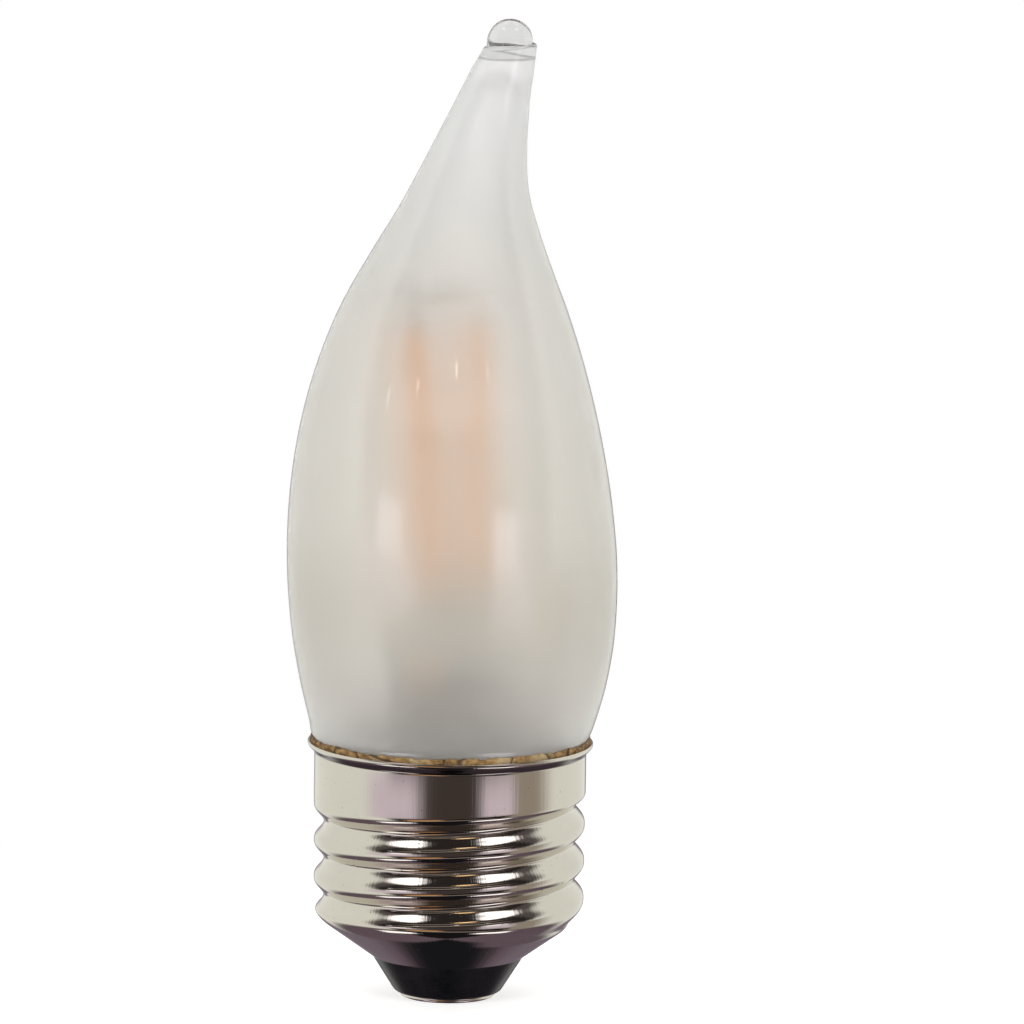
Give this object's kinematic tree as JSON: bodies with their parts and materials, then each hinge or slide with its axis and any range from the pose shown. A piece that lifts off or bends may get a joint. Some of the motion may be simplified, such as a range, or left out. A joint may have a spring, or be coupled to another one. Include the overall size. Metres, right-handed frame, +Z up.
{
  "type": "candle bulb",
  "caption": "Bent-tip candle bulb: frosted flame-shaped glass with glowing LED filaments on a nickel medium screw cap.",
  "frame": {"origin": "centre of the end contact's lower face, on the screw cap's axis", "axes": "+Z up the cap's axis towards the glass tip, +X the way the glass tip leans"},
  "size_m": [0.0319, 0.0318, 0.0952],
  "materials": {
    "nickel_plate": "bright nickel plating with fine roll lines",
    "solder": "smooth satin solder",
    "black_glass": "glossy black pressed glass",
    "cement": "baked brown basing cement, rough and cracked",
    "frosted_glass": "polished outside, frosted inside",
    "clear_glass": "clear, fire-polished",
    "nickel_wire": "drawn nickel-plated wire",
    "substrate": "translucent ceramic strip",
    "chip": "polished crystal",
    "phosphor": "soft orange silicone with phosphor",
    "board": "white solder mask on glass-fibre board",
    "capacitor_sleeve": "aluminium can in a dark sleeve",
    "ferrite": "sintered dark ferrite",
    "copper": "enamelled copper wire",
    "film_capacitor": "dipped red epoxy",
    "black_moulding": "black epoxy moulding",
    "resistor_body": "painted ceramic",
    "insulated_wire": "red insulation over copper"
  },
  "bodies": {
    "root": {"end_contact": "nickel_plate", "contact_solder": "solder", "insulator": "black_glass", "screw_shell": "nickel_plate", "basing_cement": "cement", "glass_envelope": "frosted_glass", "stem": "clear_glass", "exhaust_tube": "clear_glass", "glass_post": "clear_glass", "lead_wire_a": "nickel_wire", "lead_wire_b": "nickel_wire", "lower_carrier_a": "nickel_wire", "lower_carrier_b": "nickel_wire", "top_carrier": "nickel_wire", "filament_1_lower_tab": "nickel_wire", "filament_1_upper_tab": "nickel_wire", "filament_1_substrate": "substrate", "filament_1_chips": "chip", "filament_1_phosphor": "phosphor", "filament_2_lower_tab": "nickel_wire", "filament_2_upper_tab": "nickel_wire", "filament_2_substrate": "substrate", "filament_2_chips": "chip", "filament_2_phosphor": "phosphor", "filament_3_lower_tab": "nickel_wire", "filament_3_upper_tab": "nickel_wire", "filament_3_substrate": "substrate", "filament_3_chips": "chip", "filament_3_phosphor": "phosphor", "filament_4_lower_tab": "nickel_wire", "filament_4_upper_tab": "nickel_wire", "filament_4_substrate": "substrate", "filament_4_chips": "chip", "filament_4_phosphor": "phosphor", "driver_board": "board", "smoothing_capacitor": "capacitor_sleeve", "choke_core": "ferrite", "choke_winding": "copper", "film_capacitor": "film_capacitor", "bridge_rectifier": "black_moulding", "driver_chip": "black_moulding", "fuse_resistor": "resistor_body", "chip_resistors": "black_moulding", "live_wire": "insulated_wire", "neutral_wire": "nickel_wire", "neutral_solder": "solder"}
  },
  "joints": []
}
